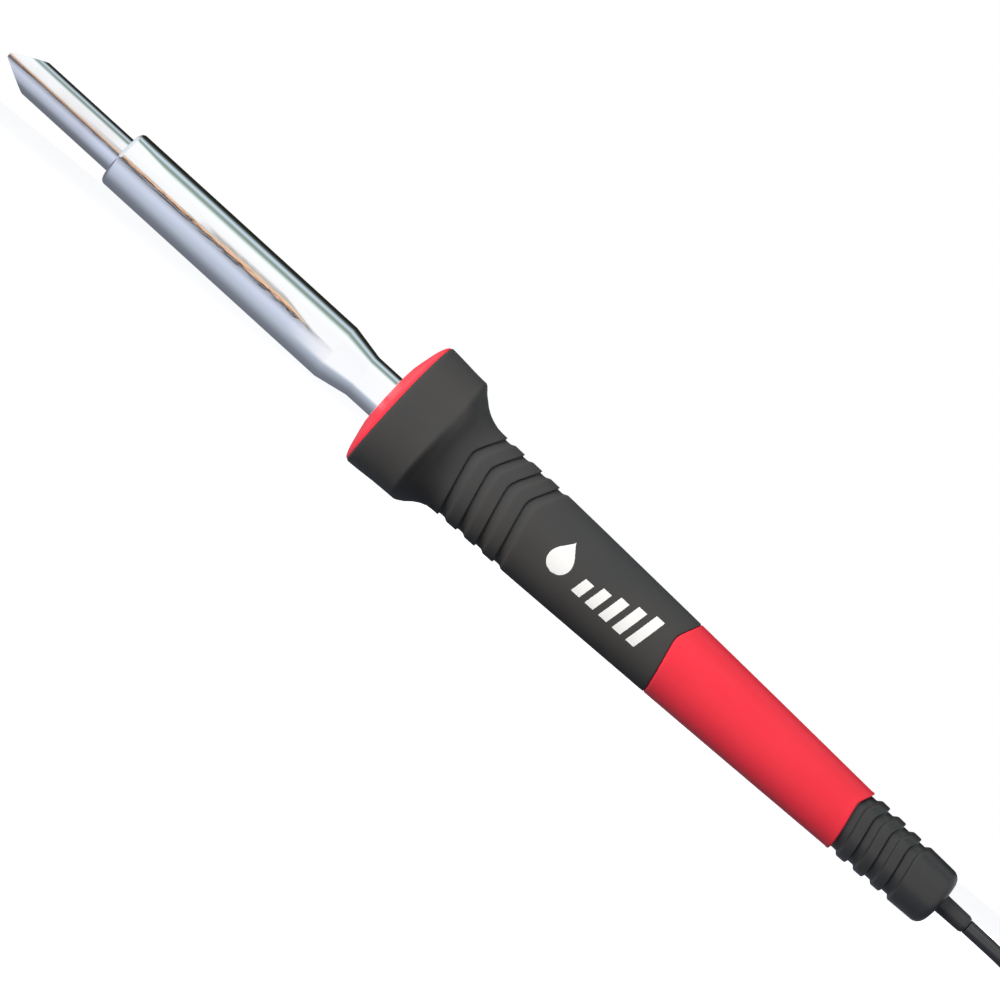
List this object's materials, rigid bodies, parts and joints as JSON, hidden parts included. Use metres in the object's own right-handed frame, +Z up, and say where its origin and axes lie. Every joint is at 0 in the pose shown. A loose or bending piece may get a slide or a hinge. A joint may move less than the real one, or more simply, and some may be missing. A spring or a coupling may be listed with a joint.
{
  "type": "soldering iron",
  "caption": "Mains soldering iron for stained glass: slide-in chisel tip in a steel barrel, soft-grip handle with a light ring, ribbed cord boot, tied cord and two-blade plug.",
  "frame": {"origin": "on the table, under the middle of the iron's box without its free cord: the iron lies on the flat of its flange and on the boot's collar, tip raised 3.12 degrees", "axes": "+X along the iron from the tip to the cord, +Z up, +Y to the side that holds the set screw"},
  "size_m": [0.4512, 0.0424, 0.0354],
  "materials": {
    "tip_plating": "polished plated copper, a little heat-toned",
    "barrel_steel": "polished",
    "steel_hardware": "satin",
    "heater_wire": "oxidised",
    "mica": "matt",
    "ceramic": "matt",
    "grip_rubber": "soft-touch satin",
    "red_plastic": "semi-gloss moulded",
    "clear_plastic": "clear moulded",
    "lead_insulation": "satin",
    "circuit_board": "satin",
    "led_package": "gloss",
    "boot_rubber": "satin",
    "cord_rubber": "satin",
    "tie_plastic": "satin",
    "blade_metal": "plated",
    "white_print": "pad-printed ink"
  },
  "bodies": {
    "root": {"barrel": "barrel_steel", "nose_bush": "steel_hardware", "heater_tube": "steel_hardware", "heater_winding": "heater_wire", "mica_sleeve": "mica", "ceramic_spacer": "ceramic", "heater_lead_1": "lead_insulation", "heater_lead_2": "lead_insulation", "crimp_1": "clear_plastic", "crimp_2": "clear_plastic", "cord_core_1": "lead_insulation", "cord_core_2": "lead_insulation", "front_cap": "red_plastic", "light_ring": "clear_plastic", "led_board": "circuit_board", "led_1": "led_package", "led_2": "led_package", "led_3": "led_package", "series_resistor": "ceramic", "rectifier_diode": "tie_plastic", "mounting_plate": "steel_hardware", "mounting_screw_1": "steel_hardware", "mounting_screw_2": "steel_hardware", "mounting_screw_3": "steel_hardware", "soft_grip": "grip_rubber", "handle_core": "red_plastic", "cord_clamp": "steel_hardware", "clamp_screw_1": "steel_hardware", "clamp_screw_2": "steel_hardware", "strain_relief_boot": "boot_rubber", "cord_inner": "cord_rubber", "cord_run": "cord_rubber", "cord_lead": "cord_rubber", "cord_hank": "cord_rubber", "hank_tie": "tie_plastic", "plug_body": "cord_rubber", "plug_boot": "cord_rubber", "plug_blade_1": "blade_metal", "plug_blade_2": "blade_metal"},
    "tip": {"tip": "tip_plating"},
    "set_screw": {"set_screw": "steel_hardware"}
  },
  "joints": [
    {"name": "tip_slide", "type": "slide", "parent": "root", "child": "tip", "axis": [-0.9985, 0, 0.0545], "range_m": [0, 0.052]},
    {"name": "set_screw_turn", "type": "hinge", "parent": "root", "child": "set_screw", "pos_m": [-0.10874, 0.0073, 0.02108], "axis": [0, 1, 0], "range_deg": [0, 720]}
  ]
}
